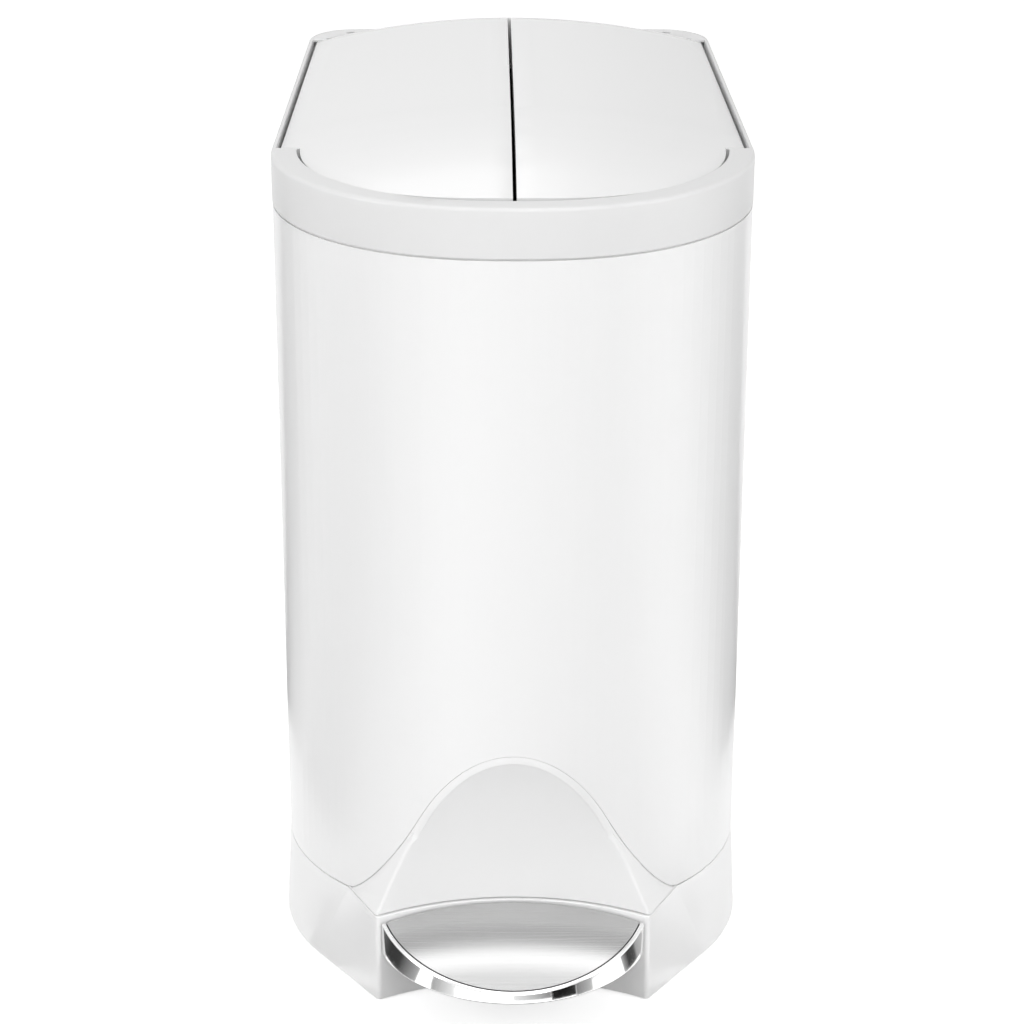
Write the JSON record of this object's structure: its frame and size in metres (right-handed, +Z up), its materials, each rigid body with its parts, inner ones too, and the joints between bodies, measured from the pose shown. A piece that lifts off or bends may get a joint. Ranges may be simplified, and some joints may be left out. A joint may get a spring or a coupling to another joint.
{
  "type": "pedal bin",
  "caption": "White steel pedal bin with butterfly lid halves, plastic rim and base, arched toe recess, metal pedal and inner bucket.",
  "frame": {"origin": "middle of the bin's plan box, on the floor", "axes": "+Z up, -Y towards the user and pedal, +X to the user's right"},
  "size_m": [0.235, 0.4178, 0.418],
  "materials": {
    "white_plastic": "smooth moulded white",
    "floor_plastic": "moulded grey",
    "screw_steel": "zinc plated",
    "pad_rubber": "dark rubber",
    "body_paint": "white powder coat",
    "rim_plastic": "smooth moulded white",
    "deck_plastic": "smooth moulded white",
    "lid_paint": "white powder coat",
    "liner_plastic": "moulded grey",
    "pin_steel": "bright steel",
    "drive_steel": "zinc plated pressing",
    "rod_steel": "bright drawn rod",
    "shoe_plastic": "black slippery plastic",
    "damper_black": "black painted tube",
    "damper_steel": "polished rod",
    "tread_metal": "fine brushed stainless",
    "lip_chrome": "polished",
    "core_plastic": "black moulding",
    "lever_steel": "black painted steel",
    "axle_steel": "turned steel",
    "bush_plastic": "natural acetal",
    "clip_steel": "spring steel",
    "bucket_plastic": "dark grey moulding",
    "stop_rubber": "soft grey rubber"
  },
  "bodies": {
    "bin": {"base_moulding": "white_plastic", "base_floor_plate": "floor_plastic", "floor_plate_screws": "screw_steel", "foot_pads": "pad_rubber", "toe_arch_panel": "body_paint", "steel_body": "body_paint", "rim_frame": "rim_plastic", "rear_deck": "deck_plastic", "hinge_pins": "pin_steel", "rod_guides": "shoe_plastic", "damper_clip": "shoe_plastic", "damper_body": "damper_black", "axle_bushes": "bush_plastic", "inner_bucket": "bucket_plastic", "lid_bumpers": "stop_rubber"},
    "lid_right": {"lid_right": "lid_paint", "lid_liner_right": "liner_plastic", "drive_shaft_right": "pin_steel", "crank_right": "drive_steel", "crank_pin_right": "drive_steel"},
    "lid_left": {"lid_left": "lid_paint", "lid_liner_left": "liner_plastic", "drive_shaft_left": "pin_steel", "crank_left": "drive_steel", "crank_pin_left": "drive_steel"},
    "push_rod": {"cam_plate": "drive_steel", "push_rod": "rod_steel", "rod_foot": "shoe_plastic", "damper_rod": "damper_steel"},
    "pedal": {"pedal_plate": "tread_metal", "pedal_lip": "lip_chrome", "pedal_core": "core_plastic", "pedal_lever": "lever_steel", "pedal_axle": "axle_steel", "axle_clips": "clip_steel", "pedal_screws": "screw_steel", "lever_pin": "axle_steel"}
  },
  "joints": [
    {"name": "lid_left_hinge", "type": "hinge", "parent": "bin", "child": "lid_left", "pos_m": [-0.10722, -0.05495, 0.4017], "axis": [-0.0201, -0.9998, 0], "range_deg": [0, 80]},
    {"name": "lid_right_hinge", "type": "hinge", "parent": "bin", "child": "lid_right", "pos_m": [0.10722, -0.05495, 0.4017], "axis": [-0.0201, 0.9998, 0], "range_deg": [0, 80]},
    {"name": "pedal_hinge", "type": "hinge", "parent": "bin", "child": "pedal", "pos_m": [0, 0.00005, 0.0235], "axis": [1, 0, 0], "range_deg": [0, 5.07]},
    {"name": "push_rod_slide", "type": "slide", "parent": "bin", "child": "push_rod", "axis": [0, 0, 1], "range_m": [0, 0.0171]}
  ],
  "couplings": [
    {"joint": "lid_right_hinge", "follows": "lid_left_hinge", "ratio": 1},
    {"joint": "pedal_hinge", "follows": "lid_left_hinge", "ratio": 0.063167},
    {"joint": "push_rod_slide", "follows": "lid_left_hinge", "m_per_rad": 0.012175}
  ]
}
